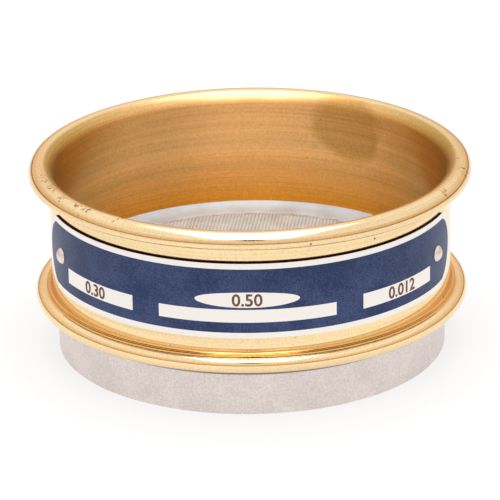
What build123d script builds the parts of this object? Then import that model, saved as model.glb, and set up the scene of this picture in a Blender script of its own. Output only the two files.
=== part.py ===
from build123d import *
from math import atan2, cos, degrees, hypot, radians, sin, sqrt
import os

# Test sieve for a 3 inch sieve stack. Millimetres, +Z up, origin on the axis at the foot of the
# skirt. The nameplate faces -Y.

# --- driving dimensions -------------------------------------------------------------------------
BORE_R = 38.1            # inside of the wall: nominal 76.2 mm bore
SHEET_T = 0.85           # spun brass sheet
HEIGHT = 37.7            # foot of the skirt to the crest of the top roll

ROLL_OUT_R = 42.92       # widest point of the top roll
ROLL_R = 2.16            # outer half of the top roll
ROLL_EASE_R = 2.66       # inner half, where the wall swings out into the roll
ROLL_CORNER_R = 0.9      # where the sheet is turned in under the roll
ROLL_SLIT = 0.12         # between the turned-in edge and the wall

BEAD_OUT_R = 42.2        # widest point of the lower bead
BEAD_R = 1.6             # outer radius of the bead
BEAD_Z = 11.28           # height of the bead's centre
BEAD_TOP_COVE_R = 0.7    # cove between the wall and the bead
BEAD_FOOT_COVE_R = 0.6   # cove between the bead and the collar
COLLAR_FOOT_Z = 9.1      # lower edge of the collar that grips the skirt

SKIRT_R = 37.95          # outside of the skirt: nests in the bore of the sieve below
SKIRT_T = 0.8
SKIRT_EDGE_R = 0.2       # rounding on the skirt's lower edge
SHOULDER_Z = 9.05        # where the skirt steps in to enter the collar
SHOULDER_R = 0.15        # rounding on that step
NECK_IN = 0.45           # depth of the step

CLOTH_Z = 12.35          # underside of the wire cloth, on the skirt's upper edge
CLOTH_T = 0.4            # two layers of 0.2 mm wire
CLOTH_R = 38.35          # cut edge of the cloth
CLOTH_MARGIN_R = 35.0    # inside this the cloth is free, outside it the cloth is soaked with solder
WEAVE_TURN = 42.0        # direction of the warp, degrees from +X
GRID_PITCH = 5.8         # coarse grid in place of the 0.5 mm weave, twelve openings across
GRID_OPEN = 3.5          # side of a square opening: 36% of the cloth is open, as in the weave
WEB_T = 0.1              # wall of the bars between their ridges
RIDGE_OFF = 0.6          # a pair of ridges runs along each bar, this far from its middle
RIDGE_FOOT = 0.8         # width of a ridge where it leaves the bar
RIDGE_CREST = 0.35       # width of its flat crest

FILLET_TOP_Z = 14.2      # where the solder runs out on the wall
FILLET_IN_R = 35.2       # where it runs out on the cloth
FILLET_SAG = 0.28        # hollow of the solder's face
FILLET_EDGE_T = 0.08     # thickness at the solder's thin edges

PLATE_T = 0.3            # aluminium sheet
PLATE_BEND_R = 38.85     # inside bend of the plate, tighter than the wall
PLATE_STAND_OFF = 0.55   # the bend's centre lies this far forward, so the middle stands clear
PLATE_FOOT_Z = 16.15
PLATE_TALL = 14.8
PLATE_TURN = -1.2        # degrees about Z from facing -Y
RIVET_ANGLE = 66.3       # each rivet, from the middle of the plate
PLATE_END_R = 7.84       # rounded ends, struck from the rivets
ENAMEL_T = 0.12          # depth of the etched field that the enamel fills, flush with the plate
ENAMEL_BORDER = 1.1      # bare edge around the enamel
BOX_IN_ANGLE = 33.3      # side boxes in the enamel, from the middle of the plate
BOX_OUT_ANGLE = 61.2
BOX_Z = (19.3, 22.3)
STRIP_ANGLE = 24.9       # half of the middle box
STRIP_Z = (19.35, 21.85)
OVAL_ANGLE = 14.4        # half of the oval
OVAL_Z = (22.25, 25.3)

RIVET_HEAD_R = 1.6
RIVET_HEAD_TALL = 0.85
RIVET_SHANK_R = 0.8

# --- worked out from them -----------------------------------------------------------------------
HALF_T = SHEET_T / 2
WALL_R = BORE_R + SHEET_T
NECK_R = SKIRT_R - NECK_IN
PLATE_Z = PLATE_FOOT_Z + PLATE_TALL / 2
PLATE_OUT_R = PLATE_BEND_R + PLATE_T
CLOTH_TOP_Z = CLOTH_Z + CLOTH_T


def on_circle(centre, radius, angle):
    """Point of the r-z plane at an angle in degrees round a centre."""
    return (centre[0] + radius * cos(radians(angle)), centre[1] + radius * sin(radians(angle)))


def arc(centre, radius, start, end):
    """Arc of the section, from start to end in degrees."""
    middle = (start + end) / 2
    return ThreePointArc(
        on_circle(centre, radius, start),
        on_circle(centre, radius, middle),
        on_circle(centre, radius, end),
    )


def ring(inner_r, outer_r, foot_z, top_z):
    """Plain ring between two radii and two heights."""
    section = Rectangle(outer_r - inner_r, top_z - foot_z, align=(Align.MIN, Align.MIN))
    return revolve(Plane.XZ * Pos(inner_r, foot_z) * section, Axis.Z)


# --- frame --------------------------------------------------------------------------------------
def cove_centre():
    """Centre of the cove between the wall and the bead."""
    bead_x = BEAD_OUT_R - BEAD_R
    cove_x = WALL_R + BEAD_TOP_COVE_R
    reach = BEAD_R + BEAD_TOP_COVE_R
    return (cove_x, BEAD_Z + sqrt(reach**2 - (bead_x - cove_x) ** 2))


def solder_back():
    """Lower end of the sloping face behind the solder, on the inside of the cove."""
    cove = cove_centre()
    inner_r = BEAD_TOP_COVE_R + SHEET_T
    return (cove[0] - sqrt(inner_r**2 - (cove[1] - CLOTH_Z) ** 2), CLOTH_Z)


def sheet_path():
    """Middle line of the spun sheet, from the collar's foot up to the edge under the top roll."""
    bead = (BEAD_OUT_R - BEAD_R, BEAD_Z)
    foot_x = NECK_R + SHEET_T + BEAD_FOOT_COVE_R
    foot_reach = BEAD_R + BEAD_FOOT_COVE_R
    foot = (foot_x, BEAD_Z - sqrt(foot_reach**2 - (bead[0] - foot_x) ** 2))
    cove = cove_centre()
    to_foot = degrees(atan2(foot[1] - bead[1], foot[0] - bead[0]))
    to_cove = degrees(atan2(cove[1] - bead[1], cove[0] - bead[0]))

    roll_x = ROLL_OUT_R - ROLL_R
    ease = (roll_x, HEIGHT - ROLL_EASE_R)
    roll = (roll_x, HEIGHT - ROLL_R)
    corner = (ROLL_OUT_R - ROLL_CORNER_R, roll[1])
    corner_mid_r = ROLL_CORNER_R - HALF_T
    edge_x = WALL_R + ROLL_SLIT + HALF_T
    under_z = corner[1] - corner_mid_r

    collar_r = NECK_R + HALF_T
    wall_mid_r = BORE_R + HALF_T
    return [
        Line((collar_r, COLLAR_FOOT_Z + HALF_T), (collar_r, foot[1])),
        arc(foot, BEAD_FOOT_COVE_R + HALF_T, 180, to_foot + 180),
        arc(bead, BEAD_R - HALF_T, to_foot, to_cove),
        arc(cove, BEAD_TOP_COVE_R + HALF_T, to_cove - 180, -180),
        Line((wall_mid_r, cove[1]), (wall_mid_r, ease[1])),
        arc(ease, ROLL_EASE_R - HALF_T, 180, 90),
        arc(roll, ROLL_R - HALF_T, 90, 0),
        arc(corner, corner_mid_r, 0, -90),
        Line((corner[0], under_z), (edge_x, under_z)),
    ]


def make_frame():
    """One brass sheet spun over a former: rolled top, plain wall, bead and collar."""
    middle_line = Wire(sheet_path())
    outline = middle_line.offset_2d(HALF_T, kind=Kind.ARC, side=Side.BOTH)
    frame = revolve(Plane.XZ * Face(outline), Axis.Z)
    behind_solder = Polygon((BORE_R, FILLET_TOP_Z), solder_back(), (BORE_R, CLOTH_Z), align=None)
    frame -= revolve(Plane.XZ * behind_solder, Axis.Z)
    for side in (-1, 1):
        frame -= rivet_shank(side)
    return frame


# --- skirt --------------------------------------------------------------------------------------
def make_skirt():
    """Tinned ring, stepped in to enter the collar. Its upper edge carries the cloth."""
    section = Polyline(
        (SKIRT_R, 0),
        (SKIRT_R, SHOULDER_Z),
        (NECK_R, SHOULDER_Z),
        (NECK_R, CLOTH_Z),
        (NECK_R - SKIRT_T, CLOTH_Z),
        (NECK_R - SKIRT_T, SHOULDER_Z - SKIRT_T),
        (SKIRT_R - SKIRT_T, SHOULDER_Z - SKIRT_T),
        (SKIRT_R - SKIRT_T, 0),
        close=True,
    )
    skirt = revolve(Plane.XZ * make_face(section), Axis.Z)
    skirt = fillet(skirt.edges().group_by(Axis.Z)[0], SKIRT_EDGE_R)
    shoulder = skirt.edges().filter_by_position(Axis.Z, SHOULDER_Z - 0.01, SHOULDER_Z + 0.01)
    return fillet(shoulder.group_by(SortBy.RADIUS)[-1], SHOULDER_R)


# --- wire cloth ---------------------------------------------------------------------------------
def weave_ridge(offset, foot_z, rise):
    """One ridge along X at a distance from the middle, standing up or hanging down from the web."""
    length = 2 * sqrt(FILLET_IN_R**2 - offset**2)
    section = Polygon(
        (-RIDGE_FOOT / 2, 0),
        (RIDGE_FOOT / 2, 0),
        (RIDGE_CREST / 2, rise),
        (-RIDGE_CREST / 2, rise),
        align=None,
    )
    start = Plane(origin=(-length / 2, offset, foot_z), x_dir=(0, 1, 0), z_dir=(1, 0, 0))
    return extrude(start * section, length, dir=(1, 0, 0))


def make_wire_cloth():
    """Plain-woven wire cloth as one wall: square openings, and bars ridged above and below."""
    web_foot_z = CLOTH_Z + (CLOTH_T - WEB_T) / 2
    web_top_z = web_foot_z + WEB_T
    rise = (CLOTH_T - WEB_T) / 2
    half_count = int(CLOTH_MARGIN_R / GRID_PITCH)

    places = []
    for column in range(-half_count, half_count):
        for row in range(-half_count, half_count):
            place = ((column + 0.5) * GRID_PITCH, (row + 0.5) * GRID_PITCH)
            if hypot(*place) < CLOTH_MARGIN_R - GRID_OPEN / 2:
                places.append(place)
    squares = Sketch() + Locations(*places) * Rectangle(GRID_OPEN, GRID_OPEN)
    web = Circle(FILLET_IN_R) - squares.intersect(Circle(CLOTH_MARGIN_R))
    cloth = extrude(Pos(0, 0, web_foot_z) * web, WEB_T)

    warp = []
    weft = []
    for number in range(1 - half_count, half_count):
        for side in (-1, 1):
            offset = number * GRID_PITCH + side * RIDGE_OFF
            warp.append(weave_ridge(offset, web_top_z, rise))
            weft.append(Rot(0, 0, 90) * weave_ridge(offset, web_foot_z, -rise))
    margin = ring(CLOTH_MARGIN_R, CLOTH_R, CLOTH_Z, CLOTH_TOP_Z)
    cloth = cloth + warp + weft + margin
    return Rot(0, 0, WEAVE_TURN) * cloth


# --- solder -------------------------------------------------------------------------------------
def make_solder_fillet():
    """Solder run round the corner between wall and cloth, so that no grain lodges there."""
    thin_top = (BORE_R - FILLET_EDGE_T, FILLET_TOP_Z)
    thin_foot = (FILLET_IN_R, CLOTH_TOP_Z + FILLET_EDGE_T)
    slope = atan2(thin_top[1] - thin_foot[1], thin_top[0] - thin_foot[0])
    middle = (
        (thin_top[0] + thin_foot[0]) / 2 + FILLET_SAG * sin(slope),
        (thin_top[1] + thin_foot[1]) / 2 - FILLET_SAG * cos(slope),
    )
    outline = [
        Line((FILLET_IN_R, CLOTH_TOP_Z), (CLOTH_R, CLOTH_TOP_Z)),
        Line((CLOTH_R, CLOTH_TOP_Z), (CLOTH_R, CLOTH_Z)),
        Line((CLOTH_R, CLOTH_Z), solder_back()),
        Line(solder_back(), (BORE_R, FILLET_TOP_Z)),
        Line((BORE_R, FILLET_TOP_Z), thin_top),
        ThreePointArc(thin_top, middle, thin_foot),
        Line(thin_foot, (FILLET_IN_R, CLOTH_TOP_Z)),
    ]
    return revolve(Plane.XZ * make_face(outline), Axis.Z)


# --- nameplate ----------------------------------------------------------------------------------
def seat_plate(shape):
    """Move a shape from the plate's own bend centre to its place on the wall."""
    return Rot(0, 0, PLATE_TURN) * Pos(0, -PLATE_STAND_OFF, 0) * shape


def bend_sector(inner_r, outer_r, foot_z, top_z, left, right):
    """Piece of a ring between two angles, in degrees from -Y and positive towards +X."""
    section = Rectangle(outer_r - inner_r, top_z - foot_z, align=(Align.MIN, Align.MIN))
    start = Plane.XZ * Pos(inner_r, foot_z) * section
    return Rot(0, 0, left - 90) * revolve(start, Axis.Z, revolution_arc=right - left)


def plate_shell(inner_r, thickness, inset):
    """Curved band with round ends struck from the rivets, drawn in by an inset."""
    outer_r = inner_r + thickness
    foot_z = PLATE_FOOT_Z + inset
    top_z = PLATE_FOOT_Z + PLATE_TALL - inset
    shell = bend_sector(inner_r, outer_r, foot_z, top_z, -RIVET_ANGLE, RIVET_ANGLE)
    end_r = PLATE_END_R - inset
    reach = RIVET_ANGLE + degrees(end_r / inner_r) + 1
    for side in (-1, 1):
        inside, outside = sorted((side * (RIVET_ANGLE - 1), side * reach))
        end = bend_sector(inner_r, outer_r, foot_z, top_z, inside, outside)
        column = Cylinder(end_r, 2 * outer_r, align=(Align.CENTER, Align.CENTER, Align.MIN))
        shell += end & (radial(side * RIVET_ANGLE) * column)
    return shell


def radial(angle):
    """Placement whose Z axis runs out from the bend centre at mid-height of the plate."""
    return Location((0, 0, PLATE_Z)) * Rot(0, 0, angle) * Rot(90, 0, 0)


def rivet_shank(side):
    """Straight shank through plate and wall."""
    length = PLATE_OUT_R + RIVET_HEAD_TALL
    shank = Cylinder(RIVET_SHANK_R, length, align=(Align.CENTER, Align.CENTER, Align.MIN))
    return seat_plate(radial(side * RIVET_ANGLE) * shank)


def enamel_field():
    """Etched field of the plate: round-ended, with three boxes and an oval left standing in it."""
    inner_r = PLATE_OUT_R - ENAMEL_T
    cut_in_r = inner_r - ENAMEL_T
    cut_out_r = PLATE_OUT_R + ENAMEL_T
    field = plate_shell(inner_r, ENAMEL_T, ENAMEL_BORDER)
    field -= bend_sector(cut_in_r, cut_out_r, *BOX_Z, -BOX_OUT_ANGLE, -BOX_IN_ANGLE)
    field -= bend_sector(cut_in_r, cut_out_r, *BOX_Z, BOX_IN_ANGLE, BOX_OUT_ANGLE)
    field -= bend_sector(cut_in_r, cut_out_r, *STRIP_Z, -STRIP_ANGLE, STRIP_ANGLE)
    oval = Ellipse(PLATE_OUT_R * sin(radians(OVAL_ANGLE)), (OVAL_Z[1] - OVAL_Z[0]) / 2)
    oval_place = Plane.XZ * Pos(0, (OVAL_Z[0] + OVAL_Z[1]) / 2)
    field -= extrude(oval_place * oval, cut_out_r)
    for side in (-1, 1):
        seat = Cylinder(RIVET_HEAD_R, cut_out_r, align=(Align.CENTER, Align.CENTER, Align.MIN))
        field -= radial(side * RIVET_ANGLE) * seat
    return field


def make_nameplate():
    """Aluminium plate, bent a little tighter than the wall and riveted at both ends."""
    plate = seat_plate(plate_shell(PLATE_BEND_R, PLATE_T, 0) - enamel_field())
    for side in (-1, 1):
        plate -= rivet_shank(side)
    return plate


def make_nameplate_enamel():
    """Blue enamel run into the etched field and rubbed down flush."""
    return seat_plate(enamel_field())


# --- rivets -------------------------------------------------------------------------------------
def make_rivet(side):
    """Round-head rivet, seated on the plate and dressed flush inside the wall."""
    cap_r = (RIVET_HEAD_R**2 + RIVET_HEAD_TALL**2) / (2 * RIVET_HEAD_TALL)
    seat_r = PLATE_OUT_R
    crown = seat_r + RIVET_HEAD_TALL
    place = radial(side * RIVET_ANGLE)
    cap = place * Pos(0, 0, crown - cap_r) * Sphere(cap_r)
    column = place * Cylinder(RIVET_HEAD_R, crown, align=(Align.CENTER, Align.CENTER, Align.MIN))
    seat = Pos(0, 0, PLATE_Z) * Cylinder(seat_r, 2 * PLATE_TALL)
    head = seat_plate((cap & column) - seat)
    bore = Pos(0, 0, PLATE_Z) * Cylinder(BORE_R, 2 * PLATE_TALL)
    shank = rivet_shank(side) & seat_plate(seat)
    return head + (shank - bore)


# --- write the nodes ----------------------------------------------------------------------------
NODES = {
    "frame": make_frame(),
    "skirt": make_skirt(),
    "wire_cloth": make_wire_cloth(),
    "solder_fillet": make_solder_fillet(),
    "nameplate": make_nameplate(),
    "nameplate_enamel": make_nameplate_enamel(),
    "rivet_left": make_rivet(-1),
    "rivet_right": make_rivet(1),
}

os.makedirs("parts", exist_ok=True)
for name, solid in NODES.items():
    export_step(solid, f"parts/{name}.step")
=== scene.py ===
from math import asin, atan2, ceil, cos, degrees, hypot, pi, radians, sin, sqrt

import bmesh
import bpy
from mathutils import Matrix, Vector, noise


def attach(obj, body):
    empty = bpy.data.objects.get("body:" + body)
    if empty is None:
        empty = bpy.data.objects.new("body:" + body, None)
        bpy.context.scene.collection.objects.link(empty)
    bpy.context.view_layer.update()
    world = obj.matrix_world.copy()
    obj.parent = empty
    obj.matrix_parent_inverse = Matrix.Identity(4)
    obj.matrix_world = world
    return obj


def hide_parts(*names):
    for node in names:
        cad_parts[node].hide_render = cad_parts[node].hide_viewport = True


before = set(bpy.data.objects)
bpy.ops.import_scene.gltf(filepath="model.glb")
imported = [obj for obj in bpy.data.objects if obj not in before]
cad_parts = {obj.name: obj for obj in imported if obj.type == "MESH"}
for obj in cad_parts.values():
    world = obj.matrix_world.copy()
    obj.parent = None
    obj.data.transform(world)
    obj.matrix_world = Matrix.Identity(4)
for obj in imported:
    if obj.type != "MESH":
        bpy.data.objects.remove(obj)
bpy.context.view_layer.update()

# A 3 inch brass test sieve. It stands on its skirt with its axis on Z, and its nameplate faces -Y.
# Sizes are in millimetres, and MM turns them into metres.
MM = 0.001

# --- Camera -------------------------------------------------------------------------------------
# A long lens, a little above the rim, so that the cloth shows over the front of the sieve.
# The image is 500 px wide, and its focal length is 3341.5 px. Angles are in radians.
CAMERA_BACK = 608.235
CAMERA_UP = 257.31
CAMERA_PITCH = 0.3747
CAMERA_YAW = -0.0003
CAMERA_ROLL = -0.0143
CAMERA_NEAR = 10.0
SENSOR_WIDTH = 36.0
FOCAL_SHARE = 3341.5 / 500

level_share = cos(CAMERA_PITCH)
look = Vector((sin(CAMERA_YAW) * level_share, cos(CAMERA_YAW) * level_share, -sin(CAMERA_PITCH)))
level_right = Vector((cos(CAMERA_YAW), -sin(CAMERA_YAW), 0))
level_up = level_right.cross(look)
image_right = cos(CAMERA_ROLL) * level_right + sin(CAMERA_ROLL) * level_up
image_up = -sin(CAMERA_ROLL) * level_right + cos(CAMERA_ROLL) * level_up

camera_data = bpy.data.cameras.new("camera")
camera_data.sensor_fit = "HORIZONTAL"
camera_data.sensor_width = SENSOR_WIDTH
camera_data.lens = FOCAL_SHARE * SENSOR_WIDTH
camera_data.clip_start = CAMERA_NEAR * MM
camera = bpy.data.objects.new("camera", camera_data)
bpy.context.scene.collection.objects.link(camera)
turn = Matrix((image_right, image_up, -look)).transposed()
camera.matrix_world = Matrix.Translation((0, -CAMERA_BACK * MM, CAMERA_UP * MM)) @ turn.to_4x4()
bpy.context.scene.camera = camera

# --- Frame --------------------------------------------------------------------------------------
# The body of the sieve: one sheet of brass, spun over a former. Its top edge is rolled outwards
# into a hollow rim, a bead stiffens it low down, and the collar under the bead grips the skirt.
SHEET_T = 0.85
BORE_R = 38.1
RIM_OUT_R = 42.9
RIM_TOP_Z = 37.7
RIM_OUTER_HALF_R = 2.16
RIM_INNER_HALF_R = 2.66
RIM_CORNER_R = 0.9
RIM_SLIT = 0.12
BEAD_OUT_R = 42.2
BEAD_R = 1.6
BEAD_Z = 11.28
COVE_ABOVE_R = 0.7
COVE_BELOW_R = 0.6
SKIRT_R = 37.95
NECK_R = 37.5
COLLAR_FOOT_Z = 9.1
ROUND_STEPS = 360
BEND_STEP = 7.0
FEWEST_BEND_STEPS = 6
RUN_INSET = 0.08
EDGE_STEPS = 6


def turn_outline(outline, steps, closed=True):
    """Points and faces of an outline of (radius, height) points, turned about Z in equal steps."""
    verts = []
    faces = []
    count = len(outline)
    for step in range(steps):
        angle = 2 * pi * step / steps
        for radius, height in outline:
            verts.append((radius * cos(angle), radius * sin(angle), height))
    for step in range(steps):
        here = step * count
        there = ((step + 1) % steps) * count
        for point in range(count if closed else count - 1):
            after = (point + 1) % count
            faces.append((here + point, there + point, there + after, here + after))
    return verts, faces


def new_mesh(name, verts, faces):
    """Mesh of points in metres and of faces between them."""
    mesh = bpy.data.meshes.new(name)
    mesh.from_pydata(verts, [], faces)
    return mesh


def finish_mesh(name, mesh, sharp_angle=None):
    """Faces outwards, shades smoothly and puts the piece in the scene, riding on the sieve."""
    work = bmesh.new()
    work.from_mesh(mesh)
    bmesh.ops.recalc_face_normals(work, faces=work.faces)
    work.to_mesh(mesh)
    work.free()
    mesh.shade_smooth()
    if sharp_angle is not None:
        mesh.set_sharp_from_angle(angle=radians(sharp_angle))
    piece = bpy.data.objects.new(name, mesh)
    bpy.context.scene.collection.objects.link(piece)
    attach(piece, "root")
    return piece


def lathe(name, outline):
    """Turns a closed outline of (radius, height) points in millimetres into a smooth ring."""
    verts, faces = turn_outline([(radius * MM, height * MM) for radius, height in outline], ROUND_STEPS)
    return finish_mesh(name, new_mesh(name, verts, faces))


def sheet_run(start, end):
    """Straight run of the sheet's middle line, as points with the normal to its left.

    A point just inside each end keeps the smooth shading of the bends out of the run.
    """
    length = hypot(end[0] - start[0], end[1] - start[1])
    along = ((end[0] - start[0]) / length, (end[1] - start[1]) / length)
    inset = min(RUN_INSET, length / 4)
    places = (0, inset, length - inset, length)
    return [((start[0] + along[0] * d, start[1] + along[1] * d), (-along[1], along[0])) for d in places]


def sheet_bend(centre, radius, start, end):
    """Bend of the middle line round a centre, between two angles in degrees, with its normals."""
    steps = max(FEWEST_BEND_STEPS, ceil(abs(end - start) / BEND_STEP))
    side = -1 if end > start else 1
    points = []
    for step in range(steps + 1):
        angle = radians(start + (end - start) * step / steps)
        out = (cos(angle), sin(angle))
        place = (centre[0] + radius * out[0], centre[1] + radius * out[1])
        points.append((place, (side * out[0], side * out[1])))
    return points


def sheet_outline(middle_line, thickness):
    """Closed outline of a sheet of one thickness that follows a middle line, with round edges."""
    half = thickness / 2
    left = [(p[0] + n[0] * half, p[1] + n[1] * half) for p, n in middle_line]
    right = [(p[0] - n[0] * half, p[1] - n[1] * half) for p, n in middle_line]
    outline = list(right)
    for (place, normal), sweep in ((middle_line[-1], 1), (middle_line[0], -1)):
        if sweep == -1:
            outline += reversed(left)
        first = atan2(-normal[1] * sweep, -normal[0] * sweep)
        for step in range(1, EDGE_STEPS):
            angle = first + pi * step / EDGE_STEPS
            outline.append((place[0] + half * cos(angle), place[1] + half * sin(angle)))
    return outline


def frame_middle_line():
    """Middle line of the brass sheet, from the collar's foot to the edge turned in under the rim."""
    half = SHEET_T / 2
    bead = (BEAD_OUT_R - BEAD_R, BEAD_Z)
    below_x = NECK_R + SHEET_T + COVE_BELOW_R
    below = (below_x, BEAD_Z - sqrt((BEAD_R + COVE_BELOW_R) ** 2 - (bead[0] - below_x) ** 2))
    above_x = BORE_R + SHEET_T + COVE_ABOVE_R
    above = (above_x, BEAD_Z + sqrt((BEAD_R + COVE_ABOVE_R) ** 2 - (bead[0] - above_x) ** 2))
    to_below = degrees(atan2(below[1] - bead[1], below[0] - bead[0]))
    to_above = degrees(atan2(above[1] - bead[1], above[0] - bead[0]))
    rim_x = RIM_OUT_R - RIM_OUTER_HALF_R
    inner_half = (rim_x, RIM_TOP_Z - RIM_INNER_HALF_R)
    outer_half = (rim_x, RIM_TOP_Z - RIM_OUTER_HALF_R)
    corner = (RIM_OUT_R - RIM_CORNER_R, outer_half[1])
    under_z = corner[1] - RIM_CORNER_R + half
    edge_x = BORE_R + SHEET_T + RIM_SLIT + half
    line = sheet_run((NECK_R + half, COLLAR_FOOT_Z + half), (NECK_R + half, below[1]))
    line += sheet_bend(below, COVE_BELOW_R + half, 180, to_below + 180)[1:]
    line += sheet_bend(bead, BEAD_R - half, to_below, to_above)[1:]
    line += sheet_bend(above, COVE_ABOVE_R + half, to_above + 180, 180)[1:]
    line += sheet_run((BORE_R + half, above[1]), (BORE_R + half, inner_half[1]))[1:]
    line += sheet_bend(inner_half, RIM_INNER_HALF_R - half, 180, 90)[1:]
    line += sheet_bend(outer_half, RIM_OUTER_HALF_R - half, 90, 0)[1:]
    line += sheet_bend(corner, RIM_CORNER_R - half, 0, -90)[1:]
    line += sheet_run((corner[0], under_z), (edge_x, under_z))[1:]
    return line


brass_body = lathe("brass_body", sheet_outline(frame_middle_line(), SHEET_T))
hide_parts("frame")


def linear(hex_colour):
    """Linear red, green, blue and alpha of an sRGB hex colour."""
    parts = [int(hex_colour[i:i + 2], 16) / 255 for i in (1, 3, 5)]
    return [c / 12.92 if c <= 0.04045 else ((c + 0.055) / 1.055) ** 2.4 for c in parts] + [1.0]


def add_node(tree, kind, inputs=(), **settings):
    """Adds a node with its settings, and sets or links its inputs, by their order or by a key.

    A node as an input stands for the first of its outputs that is in use. Inputs 6 and 7 of a
    colour Mix are its two colours, and inputs 1 to 4 of a MapRange are its two ranges.
    """
    made = tree.nodes.new("ShaderNode" + kind)
    for name, value in settings.items():
        setattr(made, name, value)
    for key, value in inputs.items() if isinstance(inputs, dict) else enumerate(inputs):
        if isinstance(value, bpy.types.Node):
            value = next(output for output in value.outputs if output.enabled)
        if isinstance(value, bpy.types.NodeSocket):
            tree.links.new(value, made.inputs[key])
        else:
            made.inputs[key].default_value = value
    return made


def new_material(name):
    """Empty node material, its node tree, and the place of each point in the sieve's own frame."""
    material = bpy.data.materials.new(name)
    material.use_nodes = True
    tree = material.node_tree
    tree.nodes.clear()
    return material, tree, add_node(tree, "TexCoord").outputs["Object"]


def noise_scale(size):
    """Scale of a pattern whose spots or lines are a size in millimetres apart."""
    return 1 / (size * MM)


# Cartridge brass, spun and then polished on the lathe while it turned. The buff leaves fine lines
# all round it, so that reflections smear up and down the wall. The bore and the inner half of the
# rim keep a duller skin. Down the bore, painted reflection turns it from pale to a deeper orange
# near the foot, for the light that the brass throws back and forth inside it.
# The lines of the buff are about 0.05 mm apart. They are drawn 0.3 mm apart, to show at all, with
# broader bands among them. The speckle is drawn coarser than its grit for the same reason.
BRASS = "#F7DAA9"
BORE_HIGH = "#FFCE8C"
BORE_LOW_REFLECTED = "#ECA034"
BORE_SIDE_SHADE = "#D0DAB2"
LINE_SPACING = 0.3
LINES_IN_BAND = 6.25
CLOUD_SIZE = 11.11
SPECKLE_SIZE = 0.4545
BORE_EDGE_R = (38.15, 38.9)
LIP_Z = (35.3, 36.8)
LIP_REACH = 1.3
REFLECTED_ORANGE_Z = (27.0, 14.5)
SIDE_SHADE_SHARE = (0.62, 0.98)
BRASS_ROUGH = (0.09, 0.15)
BORE_ROUGH = (0.29, 0.36)
SMEARS = (0.1, 0.92)
# Nearly all of a noise lies in the first of these ranges and most of it in the second. The third
# is for the sum of two.
NOISE_RANGE = (0.3, 0.7)
NOISE_MIDDLE = (0.35, 0.65)
NOISE_SUM = (0.8, 1.2)

polished_brass, tree, place = new_material("spun_polished_brass")
xyz = add_node(tree, "SeparateXYZ", [place])
height = xyz.outputs[2]
flat = add_node(tree, "CombineXYZ", [xyz.outputs[0], xyz.outputs[1]])
radius = add_node(tree, "VectorMath", [flat], operation="LENGTH")
around = add_node(tree, "VectorMath", [flat], operation="NORMALIZE")
around_parts = add_node(tree, "SeparateXYZ", [around])
height_steps = add_node(tree, "Math", [height, noise_scale(LINE_SPACING)], operation="MULTIPLY")
radius_steps = add_node(tree, "Math", [radius, noise_scale(LINE_SPACING)], operation="MULTIPLY")
line_place = add_node(tree, "CombineXYZ", [around_parts.outputs[0], around_parts.outputs[1], height_steps])
line_inputs = {"Vector": line_place, "W": radius_steps, "Detail": 2.0}
lines = add_node(tree, "TexNoise", {**line_inputs, "Scale": 1.0}, noise_dimensions="4D")
bands = add_node(tree, "TexNoise", {**line_inputs, "Scale": 1 / LINES_IN_BAND}, noise_dimensions="4D")
clouds = add_node(tree, "TexNoise", {"Vector": place, "Scale": noise_scale(CLOUD_SIZE), "Detail": 4.0})
speckle = add_node(tree, "TexNoise", {"Vector": place, "Scale": noise_scale(SPECKLE_SIZE), "Detail": 2.0})

# The bore, 1 inside and 0 outside. Its edge moves outwards with height, over the lip of the rim.
over_lip = add_node(tree, "MapRange", [height, LIP_Z[0] * MM, LIP_Z[1] * MM, 0.0, LIP_REACH * MM])
lip_radius = add_node(tree, "Math", [radius, over_lip], operation="SUBTRACT")
bore_edge = [lip_radius, BORE_EDGE_R[0] * MM, BORE_EDGE_R[1] * MM, 1.0, 0.0]
bore = add_node(tree, "MapRange", bore_edge, interpolation_type="SMOOTHSTEP")

# Tint: brass outside. Down the bore, painted reflection from pale to deep orange, and painted
# shade that dulls it to the left and right.
reflected_orange = add_node(tree, "MapRange", [height, REFLECTED_ORANGE_Z[0] * MM, REFLECTED_ORANGE_Z[1] * MM])
bore_tint = add_node(tree, "Mix", {0: reflected_orange, 6: linear(BORE_HIGH), 7: linear(BORE_LOW_REFLECTED)}, data_type="RGBA")
# Painted shade: the bore is dulled towards olive to the left and right.
to_side = add_node(tree, "Math", [around_parts.outputs[0]], operation="ABSOLUTE")
side_shade = add_node(tree, "MapRange", [to_side, *SIDE_SHADE_SHARE])
side_shade_mix = {0: side_shade, 6: bore_tint, 7: linear(BORE_SIDE_SHADE)}
bore_tint = add_node(tree, "Mix", side_shade_mix, data_type="RGBA", blend_type="MULTIPLY")
tint = add_node(tree, "Mix", {0: bore, 6: linear(BRASS), 7: bore_tint}, data_type="RGBA")

# Each pattern darkens the brass outside to one share of its tint and the bore to another, and
# brightens both to a third.
patterns = ((lines, 0.91, 0.87, 1.08), (bands, 0.96, 0.91, 1.06), (speckle, 0.94, 0.88, 1.07))
tone = None
for pattern, dark_outside, dark_bore, bright in patterns:
    dark = add_node(tree, "MapRange", {0: bore, 3: dark_outside, 4: dark_bore})
    share = add_node(tree, "MapRange", [pattern, *NOISE_RANGE, dark, bright])
    tone = add_node(tree, "Math", [tone, share], operation="MULTIPLY") if tone else share
tint = add_node(tree, "VectorMath", [tint, tone], operation="MULTIPLY")

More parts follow.
